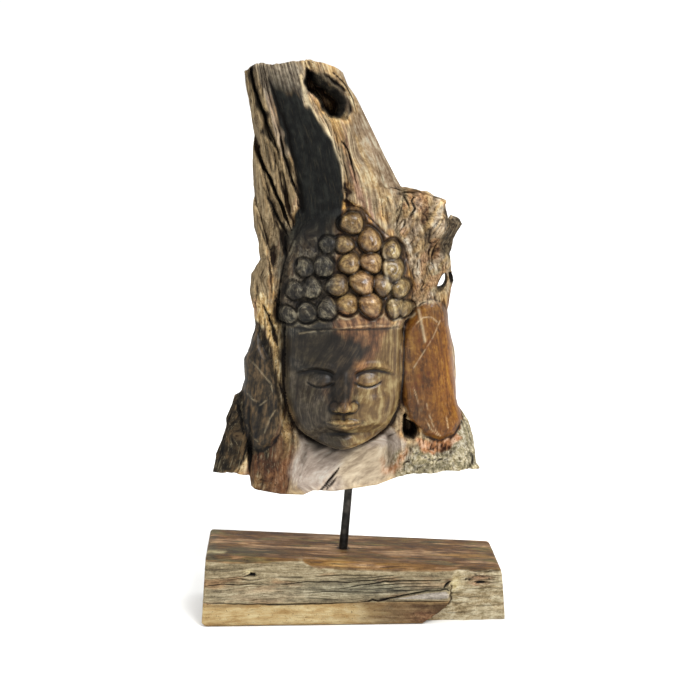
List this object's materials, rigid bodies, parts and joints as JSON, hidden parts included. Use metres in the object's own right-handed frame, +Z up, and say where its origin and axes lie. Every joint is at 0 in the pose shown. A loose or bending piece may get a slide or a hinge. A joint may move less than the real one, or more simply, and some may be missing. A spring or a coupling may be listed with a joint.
{
  "type": "carved driftwood head on a stand",
  "caption": "Head with curled hair carved in relief in an upright slab of driftwood, raised on an iron rod above a long timber block.",
  "frame": {"origin": "middle of the timber block's underside, where the piece rests", "axes": "+Z up through the rod to the top of the carving, +X to the viewer's right along the block, -Y towards the viewer, the way the face looks"},
  "size_m": [0.304, 0.108, 0.5531],
  "materials": {
    "driftwood": "weathered, the carved parts rubbed smooth with a soft sheen",
    "iron": "blackened, satin",
    "timber": "reclaimed, sawn top, weathered and split front"
  },
  "bodies": {
    "root": {"driftwood_carving": "driftwood", "iron_rod": "iron", "timber_block": "timber"}
  },
  "joints": []
}
